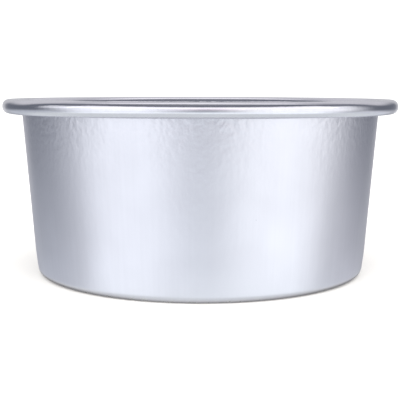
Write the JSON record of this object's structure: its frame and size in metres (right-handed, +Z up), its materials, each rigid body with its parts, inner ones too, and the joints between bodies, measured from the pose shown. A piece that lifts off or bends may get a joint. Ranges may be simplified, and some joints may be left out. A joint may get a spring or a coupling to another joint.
{
  "type": "round cake tin",
  "caption": "Deep round cake tin with a tapered side wall, a hollow rolled rim bead and a loose base that lifts out.",
  "frame": {"origin": "centre of the circle that the tin stands on, at the underside of its ledge", "axes": "+Z up along the tin's axis, towards the mouth; +X and +Y are any two directions across it, and the picture looks along +Y"},
  "size_m": [0.1708, 0.1708, 0.0753],
  "materials": {
    "anodised_wall": "satin, clear anodised",
    "anodised_base": "satin, clear anodised"
  },
  "bodies": {
    "tin": {"tin_wall": "anodised_wall"},
    "base": {"loose_base": "anodised_base"}
  },
  "joints": [
    {"name": "base_lift", "type": "slide", "parent": "tin", "child": "base", "axis": [0, 0, 1], "range_m": [0, 0.1]}
  ]
}
